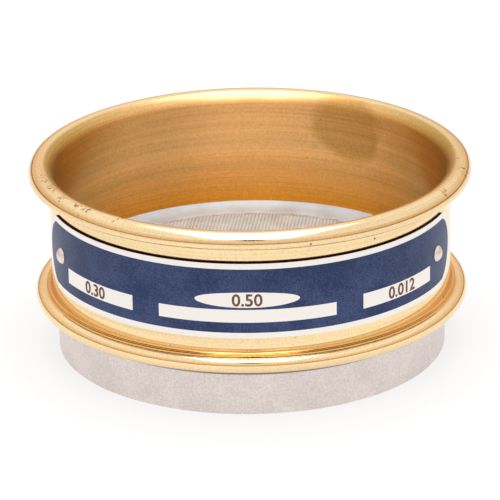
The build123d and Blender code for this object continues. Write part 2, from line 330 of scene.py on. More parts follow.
# A faint darker patch on the bore: painted shade, where the overhead panel's reflection ends. The
# clouds make its edge ragged.
BORE_SHADE_PATCH = "#E4DCC4"
SHADE_PATCH_PLACE = (20.5, 32.2, 32.4)
SHADE_PATCH_REACH = (11.0, 13.0)
SHADE_PATCH_RAGGED = 9.0
to_shade_patch = add_node(tree, "VectorMath", [place, [c * MM for c in SHADE_PATCH_PLACE]], operation="DISTANCE")
shade_patch_edge = add_node(tree, "Math", [clouds, SHADE_PATCH_RAGGED * MM, to_shade_patch], operation="MULTIPLY_ADD")
shade_patch = add_node(tree, "MapRange", [shade_patch_edge, SHADE_PATCH_REACH[0] * MM, SHADE_PATCH_REACH[1] * MM, 1.0, 0.0])
shade_patch = add_node(tree, "Math", [shade_patch, bore], operation="MULTIPLY")
tint = add_node(tree, "Mix", {0: shade_patch, 6: tint, 7: linear(BORE_SHADE_PATCH)}, data_type="RGBA", blend_type="MULTIPLY")

# Small dark pits here and there, and olive brown marks round the places where the rim is knocked.
BRASS_PIT = "#7A5626"
PIT_CELL = 1.0
PIT_CHANCE = 0.004
PIT_REACH = (0.1, 0.42)
PIT_DEPTH = 0.8
KNOCKS = (
    (-39.5, -9.6), (-38.8, -12.4), (-37.4, -15.7), (-36.8, -17.4), (-35.2, -21.5), (-31.9, -25.9),
    (-30.2, -27.8), (-24.0, -33.0), (40.7, -8.5), (41.4, -10.7), (36.4, -20.4),
)
KNOCK_Z = 37.6
KNOCK_REACH = (0.3, 2.4)
KNOCK_LIMITS = (0.47, 0.72)
KNOCK_EDGE = 0.09
KNOCK_SIZE = 0.769
pits = add_node(tree, "TexVoronoi", {"Vector": place, "Scale": noise_scale(PIT_CELL), "Randomness": 1.0})
pit_chance = add_node(tree, "SeparateXYZ", [pits.outputs["Color"]])
is_pit = add_node(tree, "Math", [pit_chance, PIT_CHANCE], operation="LESS_THAN")
pit_reach = add_node(tree, "MapRange", [speckle, *NOISE_MIDDLE, *PIT_REACH])
in_pit = add_node(tree, "Math", [pits, pit_reach], operation="LESS_THAN")
outer_share = add_node(tree, "Math", [PIT_DEPTH, bore], operation="SUBTRACT", use_clamp=True)
pit = is_pit
for mask in (in_pit, outer_share):
    pit = add_node(tree, "Math", [pit, mask], operation="MULTIPLY")
nearest = None
for x, y in KNOCKS:
    knock = (x * MM, y * MM, KNOCK_Z * MM)
    away = add_node(tree, "VectorMath", [place, knock], operation="DISTANCE")
    nearest = add_node(tree, "Math", [nearest, away], operation="MINIMUM") if nearest else away
mark_noise = add_node(tree, "TexNoise", {"Vector": place, "Scale": noise_scale(KNOCK_SIZE), "Detail": 3.0})
mark_range = (KNOCK_REACH[0] * MM, KNOCK_REACH[1] * MM)
mark_limit = add_node(tree, "MapRange", [nearest, *mark_range, *KNOCK_LIMITS])
mark_depth = add_node(tree, "Math", [mark_noise, mark_limit], operation="SUBTRACT")
mark = add_node(tree, "MapRange", [mark_depth, 0.0, KNOCK_EDGE, 0.0, PIT_DEPTH])
pit = add_node(tree, "Math", [pit, mark], operation="MAXIMUM")
tint = add_node(tree, "Mix", {0: pit, 6: tint, 7: linear(BRASS_PIT)}, data_type="RGBA")

# Painted shade and reflection: brown in the slit under the rim, painted shade; a faint deeper
# orange in the cove over the bead, painted reflection of the brass round it; and nearly black on
# the wall behind the plate, painted shadow.
SLIT_SHADE = "#A67A40"
COVE_REFLECTION = "#F0D2A0"
BEHIND_PLATE_SHADOW = "#6B3A22"
OFF_WALL_R = 38.98
SLIT_SHADE_R = 39.32
SLIT_Z = 34.3
SLIT_REACH = 1.2
COVE_R = 39.45
COVE_REACH = 0.55
COVE_Z = (12.9, 13.5)
OUTSIDE_R = 38.7
BEHIND_PLATE_ANGLE = 66.0
BEHIND_PLATE_Z = (16.3, 30.9)
# Painted shade: the slit under the rim turns brown.
past_slit = add_node(tree, "Math", [radius, SLIT_SHADE_R * MM], operation="LESS_THAN")
off_wall = add_node(tree, "Math", [radius, OFF_WALL_R * MM], operation="GREATER_THAN")
near_rim = add_node(tree, "Math", [height, SLIT_Z * MM, SLIT_REACH * MM], operation="COMPARE")
slit_shade = past_slit
for mask in (off_wall, near_rim):
    slit_shade = add_node(tree, "Math", [slit_shade, mask], operation="MULTIPLY")
tint = add_node(tree, "Mix", {0: slit_shade, 6: tint, 7: linear(SLIT_SHADE)}, data_type="RGBA")
# Painted reflection: the cove over the bead is tinted a deeper orange.
cove_r = add_node(tree, "Math", [radius, COVE_R * MM, COVE_REACH * MM], operation="COMPARE")
cove_z = add_node(tree, "MapRange", [height, COVE_Z[0] * MM, COVE_Z[1] * MM, 1.0, 0.0])
cove_reflection = add_node(tree, "Math", [cove_r, cove_z], operation="MULTIPLY")
cove_reflection_mix = {0: cove_reflection, 6: tint, 7: linear(COVE_REFLECTION)}
tint = add_node(tree, "Mix", cove_reflection_mix, data_type="RGBA", blend_type="MULTIPLY")
# Painted shadow: the wall behind the plate is nearly black.
front_limit = -cos(radians(BEHIND_PLATE_ANGLE))
outside = add_node(tree, "Math", [radius, OUTSIDE_R * MM], operation="GREATER_THAN")
in_front = add_node(tree, "Math", [around_parts.outputs[1], front_limit], operation="LESS_THAN")
above_foot = add_node(tree, "Math", [height, BEHIND_PLATE_Z[0] * MM], operation="GREATER_THAN")
below_top = add_node(tree, "Math", [height, BEHIND_PLATE_Z[1] * MM], operation="LESS_THAN")
behind_plate_shadow = outside
for mask in (in_front, above_foot, below_top):
    behind_plate_shadow = add_node(tree, "Math", [behind_plate_shadow, mask], operation="MULTIPLY")
tint = add_node(tree, "Mix", {0: behind_plate_shadow, 6: tint, 7: linear(BEHIND_PLATE_SHADOW)}, data_type="RGBA")

rough_outside = add_node(tree, "MapRange", [clouds, *NOISE_RANGE, *BRASS_ROUGH])
rough_bore = add_node(tree, "MapRange", [clouds, *NOISE_RANGE, *BORE_ROUGH])
rough = add_node(tree, "Mix", {0: bore, 2: rough_outside, 3: rough_bore})
smear = add_node(tree, "MapRange", {0: bore, 3: SMEARS[0], 4: SMEARS[1]})
lay = add_node(tree, "Tangent", direction_type="RADIAL", axis="Z")
bump = add_node(tree, "Bump", {"Height": lines, "Strength": 0.12, "Distance": 0.02 * MM})
surface = add_node(tree, "BsdfPrincipled", {
    "Base Color": tint,
    "Metallic": 1.0,
    "Roughness": rough,
    "Anisotropic": smear,
    "Anisotropic Rotation": 0.25,
    "Tangent": lay,
    "Normal": bump,
})
add_node(tree, "OutputMaterial", [surface])
brass_body.data.materials.append(polished_brass)

# --- Skirt --------------------------------------------------------------------------------------
# A ring of tinned sheet, stepped in to enter the collar. It nests in the sieve or pan below, and
# its upper edge carries the cloth.
SKIRT_T = 0.8
SKIRT_TOP_Z = 12.34
SKIRT_EDGE_R = 0.2
SHOULDER_Z = 9.05
CORNER_STEPS = 4
LONG_SIDE = 1.0
SIDE_INSET = 0.1


def rounded_outline(corners):
    """Closed outline through (radius, height, rounding) corners, each turned with a small arc.

    A point just inside each end of a long side keeps the smooth shading of the arcs out of it.
    """
    outline = []
    count = len(corners)
    for index, (x, z, rounding) in enumerate(corners):
        before = corners[index - 1]
        after = corners[(index + 1) % count]
        back = Vector((before[0] - x, before[1] - z))
        ahead = Vector((after[0] - x, after[1] - z))
        back_unit = back.normalized()
        ahead_unit = ahead.normalized()
        centre = Vector((x, z)) + (back_unit + ahead_unit) * rounding
        if back.length > LONG_SIDE:
            outline.append(tuple(Vector((x, z)) + back_unit * (rounding + SIDE_INSET)))
        for step in range(CORNER_STEPS + 1):
            angle = pi / 2 * step / CORNER_STEPS
            on_arc = centre - ahead_unit * rounding * cos(angle) - back_unit * rounding * sin(angle)
            outline.append(tuple(on_arc))
        if ahead.length > LONG_SIDE:
            outline.append(tuple(Vector((x, z)) + ahead_unit * (rounding + SIDE_INSET)))
    return outline


skirt_section = (
    (SKIRT_R, 0, SKIRT_EDGE_R),
    (SKIRT_R, SHOULDER_Z, 0.15),
    (NECK_R, SHOULDER_Z, 0.05),
    (NECK_R, SKIRT_TOP_Z, 0.1),
    (NECK_R - SKIRT_T, SKIRT_TOP_Z, 0.1),
    (NECK_R - SKIRT_T, SHOULDER_Z - SKIRT_T, 0.2),
    (SKIRT_R - SKIRT_T, SHOULDER_Z - SKIRT_T, 0.05),
    (SKIRT_R - SKIRT_T, 0, SKIRT_EDGE_R),
)
skirt_ring = lathe("skirt_ring", rounded_outline(skirt_section))
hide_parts("skirt")

# Steel sheet dipped in tin: a warm grey, matt skin, grainy and faintly clouded. Painted shadow
# darkens it from just under the collar's foot upwards, and shows as a dark line where the collar
# ends.
TIN = "#F1E9E6"
TIN_DARK = "#DDD3CF"
COLLAR_SHADOW = "#67564C"
TIN_GRAIN = 0.4
TIN_CLOUD = 8.33
TIN_ROUGH = (0.42, 0.55)
COLLAR_SHADOW_Z = (7.98, 8.2)
COLLAR_SHADOW_DEPTH = 0.85
tinned_sheet, tree, place = new_material("hot_tinned_sheet")
grain = add_node(tree, "TexNoise", {"Vector": place, "Scale": noise_scale(TIN_GRAIN), "Detail": 2.0})
clouds = add_node(tree, "TexNoise", {"Vector": place, "Scale": noise_scale(TIN_CLOUD), "Detail": 3.0})
mottle = add_node(tree, "Math", [grain, clouds], operation="ADD")
shade = add_node(tree, "MapRange", [mottle, *NOISE_SUM])
tint = add_node(tree, "Mix", {0: shade, 6: linear(TIN_DARK), 7: linear(TIN)}, data_type="RGBA")
height = add_node(tree, "SeparateXYZ", [place]).outputs[2]
# Painted shadow from just under the collar's foot upwards.
collar_shadow = add_node(tree, "MapRange", [height, COLLAR_SHADOW_Z[0] * MM, COLLAR_SHADOW_Z[1] * MM, 0.0, COLLAR_SHADOW_DEPTH])
tint = add_node(tree, "Mix", {0: collar_shadow, 6: tint, 7: linear(COLLAR_SHADOW)}, data_type="RGBA")
rough = add_node(tree, "MapRange", [clouds, *NOISE_RANGE, *TIN_ROUGH])
bump = add_node(tree, "Bump", {"Height": grain, "Strength": 0.15, "Distance": 0.03 * MM})
finish = {"Base Color": tint, "Metallic": 1.0, "Roughness": rough, "Normal": bump}
surface = add_node(tree, "BsdfPrincipled", finish)
add_node(tree, "OutputMaterial", [surface])
skirt_ring.data.materials.append(tinned_sheet)

# --- Wire cloth ---------------------------------------------------------------------------------
# Plain-woven wire cloth: 0.2 mm wires at a pitch of 0.5 mm, which leave square apertures of
# 0.3 mm. Warp and weft pass over and under each other, and both run into the solder.
WIRE_R = 0.1
WIRE_PITCH = 0.5
CLOTH_FOOT_Z = 12.35
CLOTH_END_R = 35.9
WARP_TURN = 39.0
WARP_CRIMP = 0.05
WEFT_CRIMP = 0.15


def woven_wires(name, turn, first_over, crimp):
    """All the wires of one direction, each a four-sided tube with a ring at every crossing."""
    middle_z = CLOTH_FOOT_Z + 2 * WIRE_R
    along = (cos(radians(turn)), sin(radians(turn)))
    across = (-along[1], along[0])
    reach = int(CLOTH_END_R / WIRE_PITCH)
    verts = []
    faces = []
    for wire in range(-reach, reach + 1):
        offset = wire * WIRE_PITCH
        half_count = int(sqrt(CLOTH_END_R**2 - offset**2) / WIRE_PITCH)
        if half_count < 2:
            continue
        for crossing in range(-half_count, half_count + 1):
            over = 1 if (wire + crossing + first_over) % 2 else -1
            centre_z = middle_z + over * crimp
            run = crossing * WIRE_PITCH
            start = len(verts)
            for side, lift in ((WIRE_R, 0), (0, WIRE_R), (-WIRE_R, 0), (0, -WIRE_R)):
                x = along[0] * run + across[0] * (offset + side)
                y = along[1] * run + across[1] * (offset + side)
                verts.append((x * MM, y * MM, (centre_z + lift) * MM))
            if crossing > -half_count:
                for corner in range(4):
                    after = (corner + 1) % 4
                    faces.append((start - 4 + corner, start - 4 + after, start + after, start + corner))
            else:
                faces.append((start + 3, start + 2, start + 1, start))
        faces.append((start, start + 1, start + 2, start + 3))
    return finish_mesh(name, new_mesh(name, verts, faces))


warp_wires = woven_wires("warp_wires", WARP_TURN, 0, WARP_CRIMP)
weft_wires = woven_wires("weft_wires", WARP_TURN + 90, 1, WEFT_CRIMP)

# Drawn phosphor bronze, tinned: a pale sheen, broken up by the weave. The warp is painted darker
# than the weft that rides over it, as painted shade and light on the weave, and the cloth turns
# brown towards its margin, with a ragged edge.
WARP_SHADED_COLOURS = ("#D6D2CE", "#BAB4AE")
WEFT_LIT_COLOURS = ("#FFFFFF", "#F6F9FC")
MARGIN_BROWN = "#A18C7C"
MARGIN_R = (35.0, 36.4)
MARGIN_RAGGED = 2.4
MARGIN_DEPTH = 0.75
WIRE_CLOUD = 3.333
WIRE_ROUGH = (0.3, 0.42)
# Painted shade on the warp and painted light on the weft make the stripes of the weave.
for wires, name, (bright, dull) in (
    (warp_wires, "drawn_warp_wire", WARP_SHADED_COLOURS),
    (weft_wires, "drawn_weft_wire", WEFT_LIT_COLOURS),
):
    drawn_wire, tree, place = new_material(name)
    clouds = add_node(tree, "TexNoise", {"Vector": place, "Scale": noise_scale(WIRE_CLOUD), "Detail": 3.0})
    shade = add_node(tree, "MapRange", [clouds, *NOISE_MIDDLE])
    tint = add_node(tree, "Mix", {0: shade, 6: linear(dull), 7: linear(bright)}, data_type="RGBA")
    xyz = add_node(tree, "SeparateXYZ", [place])
    flat = add_node(tree, "CombineXYZ", [xyz.outputs[0], xyz.outputs[1]])
    radius = add_node(tree, "VectorMath", [flat], operation="LENGTH")
    # The cloth darkens to brown towards its margin, with a ragged edge.
    ragged = add_node(tree, "Math", [clouds, MARGIN_RAGGED * MM, radius], operation="MULTIPLY_ADD")
    margin_share = add_node(tree, "MapRange", [ragged, MARGIN_R[0] * MM, MARGIN_R[1] * MM, 0.0, MARGIN_DEPTH])
    tint = add_node(tree, "Mix", {0: margin_share, 6: tint, 7: linear(MARGIN_BROWN)}, data_type="RGBA")
    rough = add_node(tree, "MapRange", [clouds, *NOISE_RANGE, *WIRE_ROUGH])
    surface = add_node(tree, "BsdfPrincipled", {"Base Color": tint, "Metallic": 0.25, "Roughness": rough})
    add_node(tree, "OutputMaterial", [surface])
    wires.data.materials.append(drawn_wire)
    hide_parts("wire_cloth")

# --- Solder -------------------------------------------------------------------------------------
# Solder run round the corner between the wall and the cloth, so that no grain lodges there. It
# soaks the cloth's margin and freezes to a smooth hollow face with a slightly wavering edge.
SOLDER_TOP_Z = 14.2
SOLDER_IN_R = 35.2
SOLDER_SAG = 0.28
SOLDER_EDGE_T = 0.08
SOLDER_SOAK = 0.9
SOLDER_CLEAR = 0.01
SOLDER_INSET = 0.1
SOAK_EDGE_T = 0.05
SOAK_SLOPE = (0.45, 0.16)
FILLET_STEPS = 16
SOLDER_WAVER = 0.3
WAVER_R = 37.0
WAVER_FADE = 1.8
WAVES = ((9, 1.0), (27, 1.0), (70, 0.6))


def solder_outline():
    """Closed outline of the soaked margin with the hollow fillet on top."""
    cloth_top = CLOTH_FOOT_Z + 4 * WIRE_R
    high = (BORE_R - SOLDER_EDGE_T, SOLDER_TOP_Z)
    low = (SOLDER_IN_R, cloth_top + SOLDER_EDGE_T)
    length = hypot(high[0] - low[0], high[1] - low[1])
    normal = ((high[1] - low[1]) / length, -(high[0] - low[0]) / length)
    hollow = []
    for step in range(FILLET_STEPS + 1):
        share = step / FILLET_STEPS
        sag = SOLDER_SAG * (1 - (2 * share - 1) ** 2)
        x = low[0] + (high[0] - low[0]) * share + normal[0] * sag
        z = low[1] + (high[1] - low[1]) * share + normal[1] * sag
        hollow.append((x, z))
    wall = BORE_R - SOLDER_CLEAR
    inner = SOLDER_IN_R - SOLDER_SOAK
    foot = CLOTH_FOOT_Z + SOLDER_CLEAR
    back = [(wall, z) for z in (SOLDER_TOP_Z, SOLDER_TOP_Z - SOLDER_INSET, foot + SOLDER_INSET, foot)]
    under = [(wall - SOLDER_INSET, foot), (inner + SOLDER_INSET, foot), (inner, foot + SOAK_EDGE_T)]
    slope = [(inner + SOAK_SLOPE[0], cloth_top - SOAK_SLOPE[1])]
    return hollow + back + under + slope


solder_ring = lathe("solder_ring", solder_outline())
for vertex in solder_ring.data.vertices:
    radius_here = hypot(vertex.co.x, vertex.co.y)
    share = max(0.0, min(1.0, (WAVER_R * MM - radius_here) / (WAVER_FADE * MM)))
    direction = Vector((vertex.co.x, vertex.co.y, 0)) / radius_here
    waver = sum(weight * noise.noise(direction * waves) for waves, weight in WAVES)
    vertex.co += direction * (waver * share * SOLDER_WAVER * MM)
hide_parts("solder_fillet")

# Soft solder of tin and lead, left as it froze: a bluish grey, half matt, with soft ripples.
SOLDER = "#CCD7DF"
SOLDER_DARK = "#BAC2C9"
RIPPLE_SIZE = 6.25
SOLDER_ROUGH = (0.4, 0.55)
soft_solder, tree, place = new_material("soft_solder")
ripples = add_node(tree, "TexNoise", {"Vector": place, "Scale": noise_scale(RIPPLE_SIZE), "Detail": 4.0})
shade = add_node(tree, "MapRange", [ripples, *NOISE_MIDDLE])
tint = add_node(tree, "Mix", {0: shade, 6: linear(SOLDER_DARK), 7: linear(SOLDER)}, data_type="RGBA")
rough = add_node(tree, "MapRange", [ripples, *NOISE_RANGE, *SOLDER_ROUGH])
bump = add_node(tree, "Bump", {"Height": ripples, "Strength": 0.25, "Distance": 0.1 * MM})
finish = {"Base Color": tint, "Metallic": 0.2, "Roughness": rough, "Normal": bump}
surface = add_node(tree, "BsdfPrincipled", finish)
add_node(tree, "OutputMaterial", [surface])
solder_ring.data.materials.append(soft_solder)

# --- Nameplate ----------------------------------------------------------------------------------
# A round-ended aluminium plate, rolled a little tighter than the wall, so that its middle stands
# clear of the brass. Its field is etched down and filled with enamel, level with the bare metal.
PLATE_T = 0.3
PLATE_BEND_R = 38.85
PLATE_STAND_OFF = 0.55
PLATE_FOOT_Z = 16.15
PLATE_TALL = 14.8
PLATE_TURN = -1.2
PLATE_END_R = 7.84
RIVET_ANGLE = 66.3
FIELD_DEPTH = 0.12
FIELD_BORDER = 1.1
BOX_ANGLES = (33.3, 61.2)
BOX_Z = (19.3, 22.3)
STRIP_ANGLE = 24.9
STRIP_TOP_Z = 21.85
OVAL_ANGLE = 14.4
OVAL_Z = (22.25, 25.3)
PLATE_ROWS = 7
PLATE_SHARP = 35
COLUMN_STEP = 1.0
COLUMN_COUNT = 51
COLUMN_GAP = 0.02
OVAL_STEP = 5
END_STEP = 6
END_START = 3.8
ROW_OVER_BOX = 1.5
WELD = 1e-7
PLATE_OUT_R = PLATE_BEND_R + PLATE_T
PLATE_Z = PLATE_FOOT_Z + PLATE_TALL / 2


def on_plate(angle, height, radius):
    """Point in metres at an angle from the plate's middle, a height and a radius of its bend."""
    x = radius * sin(radians(angle))
    y = -PLATE_STAND_OFF - radius * cos(radians(angle))
    turn = radians(PLATE_TURN)
    return ((x * cos(turn) - y * sin(turn)) * MM, (x * sin(turn) + y * cos(turn)) * MM, height * MM)


def half_height(angle, inset):
    """Half of the plate's height at an angle, drawn in by an inset, with its rounded ends."""
    end_r = PLATE_END_R - inset
    past = PLATE_OUT_R * sin(radians(max(0.0, abs(angle) - RIVET_ANGLE)))
    round_part = sqrt(max(0.0, end_r**2 - past**2))
    return min(PLATE_TALL / 2 - inset, round_part)


def tip_angle(inset):
    """Angle of the rounded end's tip."""
    return RIVET_ANGLE + degrees(asin((PLATE_END_R - inset) / PLATE_OUT_R))


def plate_columns():
    """Angles of the mesh's columns: even steps, the windows' edges, and close steps at the ends."""
    columns = {0.0, OVAL_ANGLE, STRIP_ANGLE, *BOX_ANGLES, RIVET_ANGLE}
    columns.update(OVAL_ANGLE * sin(radians(step)) for step in range(0, 90, OVAL_STEP))
    columns.update(OVAL_ANGLE + COLUMN_STEP * step for step in range(1, COLUMN_COUNT + 1))
    corner = RIVET_ANGLE + END_START
    for inset in (0, FIELD_BORDER):
        tip = tip_angle(inset)
        columns.update(corner + (tip - corner) * sin(radians(step)) for step in range(0, 91, END_STEP))
    ordered = sorted(columns)
    kept = [ordered[0]]
    for angle in ordered[1:]:
        if angle - kept[-1] > COLUMN_GAP:
            kept.append(angle)
    return [-angle for angle in reversed(kept[1:])] + kept


def plate_rows(angle):
    """Heights of the mesh's rows at an angle: edge, field, boxes, oval, field, edge."""
    span = abs(angle)
    fade = max(0.0, min(1.0, (span - OVAL_ANGLE) / (STRIP_ANGLE - OVAL_ANGLE)))
    oval_middle = (OVAL_Z[0] + OVAL_Z[1]) / 2
    oval_half = (OVAL_Z[1] - OVAL_Z[0]) / 2 * sqrt(max(0.0, 1 - (span / OVAL_ANGLE) ** 2))
    under_oval = (oval_middle - oval_half) * (1 - fade) + BOX_Z[1] * fade
    over_oval = (oval_middle + oval_half) * (1 - fade) + (BOX_Z[1] + ROW_OVER_BOX) * fade
    rows = [BOX_Z[0], STRIP_TOP_Z, under_oval, over_oval]
    squeeze = half_height(angle, FIELD_BORDER) / (PLATE_TALL / 2 - FIELD_BORDER)
    rows = [PLATE_Z + (row - PLATE_Z) * squeeze for row in rows]
    field = half_height(angle, FIELD_BORDER)
    edge = half_height(angle, 0)
    return [PLATE_Z - edge, PLATE_Z - field, *rows, PLATE_Z + field, PLATE_Z + edge]


def is_enamel(angle, row):
    """True where the cell above a row, at an angle, belongs to the enamelled field."""
    span = abs(angle)
    if row in (0, PLATE_ROWS - 1) or span > tip_angle(FIELD_BORDER):
        return False
    if BOX_ANGLES[0] < span < BOX_ANGLES[1] and row in (2, 3):
        return False
    if span < STRIP_ANGLE and row == 2:
        return False
    return not (span < OVAL_ANGLE and row == 4)


def relief_mesh(name, levels):
    """Closed mesh over the plate's columns and rows. levels gives a cell's (inner, outer) radius."""
    columns = plate_columns()
    heights = [plate_rows(angle) for angle in columns]
    work = bmesh.new()
    made = {}

    def corner(column, row, radius):
        key = (column, row, radius)
        if key not in made:
            made[key] = work.verts.new(on_plate(columns[column], heights[column][row], radius))
        return made[key]

    def level(column, row):
        if not (0 <= column < len(columns) - 1 and 0 <= row < PLATE_ROWS):
            return None
        return levels((columns[column] + columns[column + 1]) / 2, row)

    def wall(first, second, here, there):
        """Upright faces along one edge of a cell, where its neighbour is lower or missing."""
        if here is None:
            return
        inner, outer = here
        spans = [(inner, outer)]
        if there is not None:
            spans = [(there[1], outer)] if there[1] < outer else []
            if there[0] > inner:
                spans.append((inner, there[0]))
        for low, high in spans:
            ends = [corner(*first, low), corner(*second, low), corner(*second, high), corner(*first, high)]
            work.faces.new(ends)

    for column in range(len(columns) - 1):
        for row in range(PLATE_ROWS):
            here = level(column, row)
            if here is not None:
                for radius in here:
                    cell = ((column, row), (column + 1, row), (column + 1, row + 1), (column, row + 1))
                    work.faces.new([corner(*spot, radius) for spot in cell])
            for first, second, there in (
                ((column, row), (column + 1, row), level(column, row - 1)),
                ((column, row + 1), (column + 1, row + 1), level(column, row + 1)),
                ((column, row), (column, row + 1), level(column - 1, row)),
                ((column + 1, row), (column + 1, row + 1), level(column + 1, row)),
            ):
                wall(first, second, here, there)
    bmesh.ops.remove_doubles(work, verts=work.verts, dist=WELD)
    bmesh.ops.dissolve_degenerate(work, edges=work.edges, dist=WELD)
    mesh = bpy.data.meshes.new(name)
    work.to_mesh(mesh)
    work.free()
    return finish_mesh(name, mesh, PLATE_SHARP)


def plate_levels(angle, row):
    """The plate is full thickness at its border and windows, and etched down in its field."""
    top = PLATE_OUT_R - FIELD_DEPTH if is_enamel(angle, row) else PLATE_OUT_R
    return PLATE_BEND_R, top


plate_sheet = relief_mesh("plate_sheet", plate_levels)
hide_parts("nameplate")

# Rolled sheet with a satin finish: fine level lines and a soft white sheen. The lines are drawn
# coarser than the real ones, to show at all.
ALUMINIUM = "#FFFBF7"
ALUMINIUM_DARK = "#F6EFEA"
SATIN_LINE = (3.333, 3.333, 0.16667)
SATIN_ROUGH = (0.32, 0.42)
satin_aluminium, tree, place = new_material("satin_aluminium")
stretch = add_node(tree, "Mapping", {0: place, 3: [noise_scale(size) for size in SATIN_LINE]})
lines = add_node(tree, "TexNoise", {"Vector": stretch, "Scale": 1.0, "Detail": 2.0})
tint = add_node(tree, "Mix", {0: lines, 6: linear(ALUMINIUM_DARK), 7: linear(ALUMINIUM)}, data_type="RGBA")
rough = add_node(tree, "MapRange", [lines, *NOISE_RANGE, *SATIN_ROUGH])
bump = add_node(tree, "Bump", {"Height": lines, "Strength": 0.1, "Distance": 0.02 * MM})
finish = {"Base Color": tint, "Metallic": 1.0, "Roughness": rough, "Normal": bump}
surface = add_node(tree, "BsdfPrincipled", finish)
add_node(tree, "OutputMaterial", [surface])
plate_sheet.data.materials.append(satin_aluminium)

# The back and the cut edges of the plate are painted dark brown and matt, as painted shade, so that
# the gap behind the plate reads as shadow.
PLATE_BACK_SHADE = "#55301E"
PLATE_BACK_LUMP = 1.667
PLATE_BACK_ROUGH = (0.7, 0.9)
shaded_plate_back, tree, place = new_material("shaded_plate_back")
lumps = add_node(tree, "TexNoise", {"Vector": place, "Scale": noise_scale(PLATE_BACK_LUMP), "Detail": 3.0})
rough = add_node(tree, "MapRange", [lumps, *NOISE_RANGE, *PLATE_BACK_ROUGH])
surface = add_node(tree, "BsdfPrincipled", {"Base Color": linear(PLATE_BACK_SHADE), "Roughness": rough})
add_node(tree, "OutputMaterial", [surface])
plate_sheet.data.materials.append(shaded_plate_back)
# The back and the cut edges take the painted shade.
for polygon in plate_sheet.data.polygons:
    from_bend = polygon.center.y + PLATE_STAND_OFF * MM
    outwards = polygon.center.x * polygon.normal.x + from_bend * polygon.normal.y
    is_back_or_edge = outwards < 0.5 * PLATE_BEND_R * MM
    polygon.material_index = 1 if is_back_or_edge else 0

# --- Enamel -------------------------------------------------------------------------------------
# Dark blue enamel, run into the etched field and baked, then rubbed level. It leaves the border,
# two boxes, a strip and an oval of bare metal.
def enamel_levels(angle, row):
    """The enamel fills the etched field and nothing else."""
    return (PLATE_OUT_R - FIELD_DEPTH, PLATE_OUT_R) if is_enamel(angle, row) else None


enamel_field = relief_mesh("enamel_field", enamel_levels)
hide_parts("nameplate_enamel")

# Baked enamel: a low sheen with a faint orange peel, rubbed paler here and there, and a dark ring
# round each rivet, painted shadow. Peel and rubbing are drawn coarser than they are, to show at all.
NAVY = "#27375F"
NAVY_WORN = "#43517A"
RIVET_SHADOW = "#14121A"
WORN_CLOUD = 6.667
PEEL_SIZE = 0.5556
RUB_SIZE = 0.3333
RIVET_SHADOW_R = (1.7, 1.95)
RIVET_SHADOW_DEPTH = 0.85
ENAMEL_ROUGH = (0.3, 0.42)
baked_enamel, tree, place = new_material("baked_enamel")
clouds = add_node(tree, "TexNoise", {"Vector": place, "Scale": noise_scale(WORN_CLOUD), "Detail": 3.0})
peel = add_node(tree, "TexNoise", {"Vector": place, "Scale": noise_scale(PEEL_SIZE), "Detail": 1.0})
rubbed = add_node(tree, "TexNoise", {"Vector": place, "Scale": noise_scale(RUB_SIZE), "Detail": 1.0})
shade = add_node(tree, "Math", [clouds, rubbed], operation="ADD")
shade = add_node(tree, "MapRange", [shade, *NOISE_SUM])
tint = add_node(tree, "Mix", {0: shade, 6: linear(NAVY), 7: linear(NAVY_WORN)}, data_type="RGBA")
# Painted shadow: a dark ring on the enamel round each rivet.
to_rivets = []
for side in (-1, 1):
    rivet_place = on_plate(side * RIVET_ANGLE, PLATE_Z, PLATE_OUT_R)
    to_rivets.append(add_node(tree, "VectorMath", [place, rivet_place], operation="DISTANCE"))
to_rivet = add_node(tree, "Math", to_rivets, operation="MINIMUM")
rivet_shadow = add_node(tree, "MapRange", [to_rivet, RIVET_SHADOW_R[0] * MM, RIVET_SHADOW_R[1] * MM, RIVET_SHADOW_DEPTH, 0.0])
tint = add_node(tree, "Mix", {0: rivet_shadow, 6: tint, 7: linear(RIVET_SHADOW)}, data_type="RGBA")
rough = add_node(tree, "MapRange", [clouds, *NOISE_RANGE, *ENAMEL_ROUGH])
bump = add_node(tree, "Bump", {"Height": peel, "Strength": 0.1, "Distance": 0.03 * MM})
finish = {"Base Color": tint, "Roughness": rough, "Normal": bump, "Specular IOR Level": 0.2}
surface = add_node(tree, "BsdfPrincipled", finish)
add_node(tree, "OutputMaterial", [surface])
enamel_field.data.materials.append(baked_enamel)

# --- Numbers ------------------------------------------------------------------------------------
# The cloth's aperture and pitch, as plain numbers stamped in brown ink on the bare windows. The
# ink lies on the metal, a few hundredths thick, and follows the plate's bend.
INK_T = 0.03
NUMBER_TALL = 2.35
NUMBER_BOLD = 0.065
FIGURE_SHARE = 0.7
INK_CLEAR = 0.005
NUMBER_SHARP = 40
NUMBERS = (("0.50", 0.0, 22.6), ("0.30", -47.6, 19.65), ("0.012", 47.6, 19.65))


def stamp_number(name, text, angle, foot_z):
    """A number in plain figures, bent onto the plate round an angle, with its foot at a height."""
    curve = bpy.data.curves.new(name, "FONT")
    curve.body = text
    curve.align_x = "CENTER"
    curve.size = NUMBER_TALL / FIGURE_SHARE
    curve.offset = NUMBER_BOLD
    curve.extrude = INK_T / 2
    curve.resolution_u = 3
    flat_number = bpy.data.objects.new(name, curve)
    mesh = bpy.data.meshes.new_from_object(flat_number)
    bpy.data.objects.remove(flat_number)
    bpy.data.curves.remove(curve)
    for vertex in mesh.vertices:
        spread = angle + degrees(vertex.co.x / PLATE_OUT_R)
        out = PLATE_OUT_R + vertex.co.z + INK_T / 2 + INK_CLEAR
        vertex.co = on_plate(spread, foot_z + vertex.co.y, out)
    mesh.materials.clear()
    return finish_mesh(name, mesh, NUMBER_SHARP)


